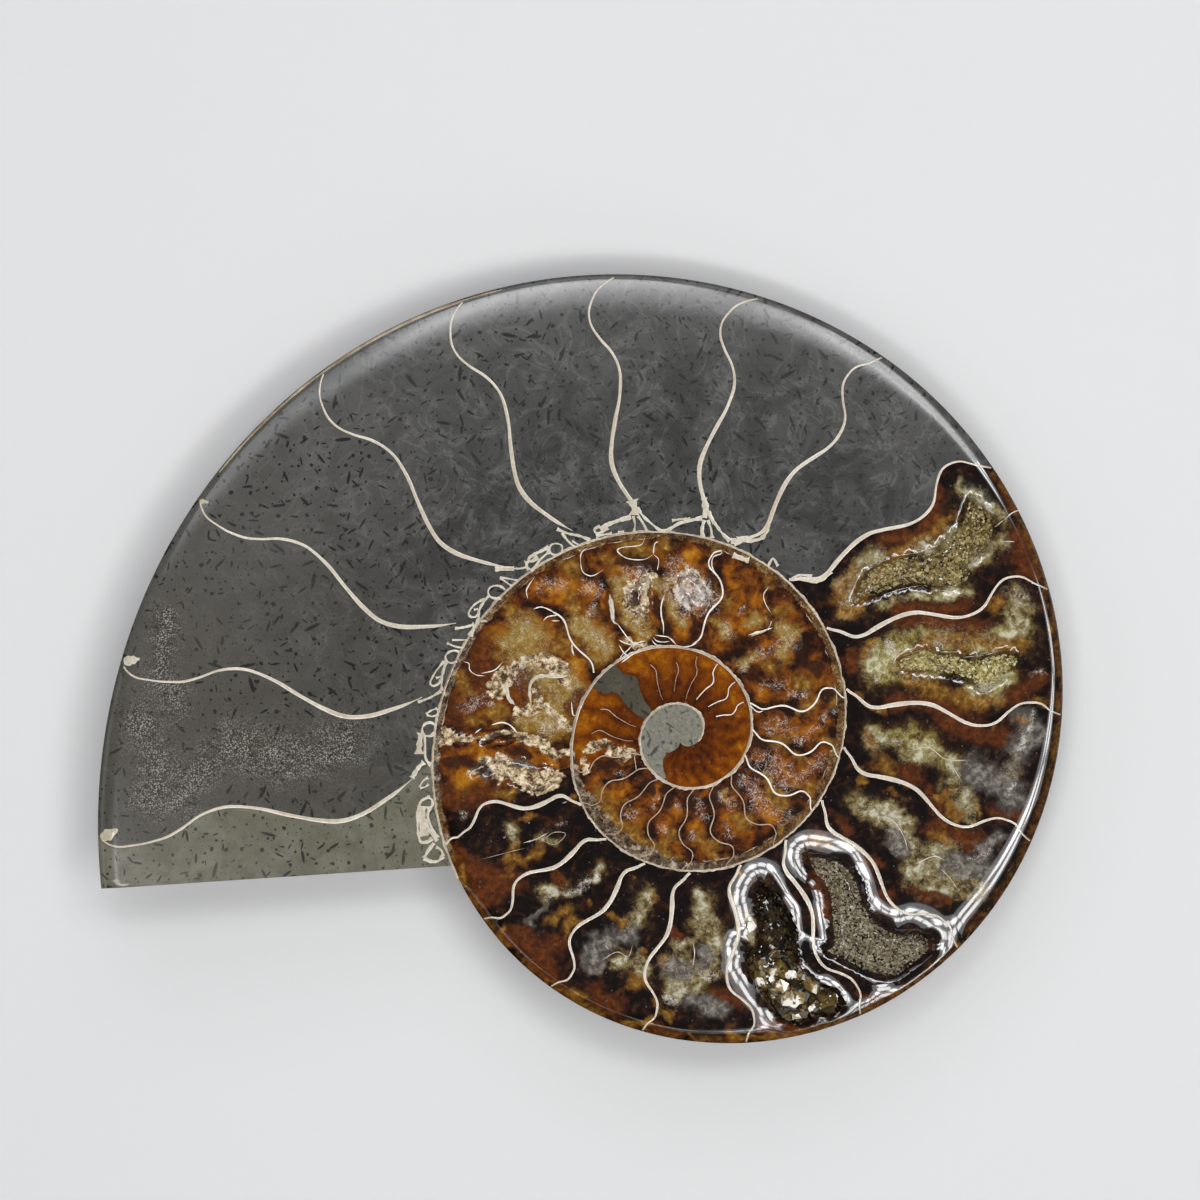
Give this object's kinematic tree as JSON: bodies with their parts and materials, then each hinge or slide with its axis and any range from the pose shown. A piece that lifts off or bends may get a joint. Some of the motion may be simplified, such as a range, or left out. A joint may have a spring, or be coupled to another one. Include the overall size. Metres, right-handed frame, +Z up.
{
  "type": "ammonite fossil half",
  "caption": "Half of a coiled ammonite fossil, sawn and polished on its plane of symmetry, with the chambers, septa and open crystal-lined hollows showing.",
  "frame": {"origin": "on the surface it lies on, under the middle of its bounding box", "axes": "+X along the longest extent, away from the sawn shell opening; +Y toward the tall side of the coil; +Z up, the cut face leaning 4.6 degrees from it"},
  "size_m": [0.1294, 0.1032, 0.0181],
  "materials": {
    "fossil": "polished on the cut face, satin on the shell",
    "dark_calcite": "crystal faces",
    "grey_druse": "fine crystals",
    "yellow_druse": "fine crystals",
    "pale_yellow_druse": "fine crystals"
  },
  "bodies": {
    "root": {"ammonite_half": "fossil", "boot_hollow_crystals": "dark_calcite", "bean_hollow_crystals": "grey_druse", "upper_hollow_crystals": "yellow_druse", "lower_hollow_crystals": "pale_yellow_druse"}
  },
  "joints": []
}
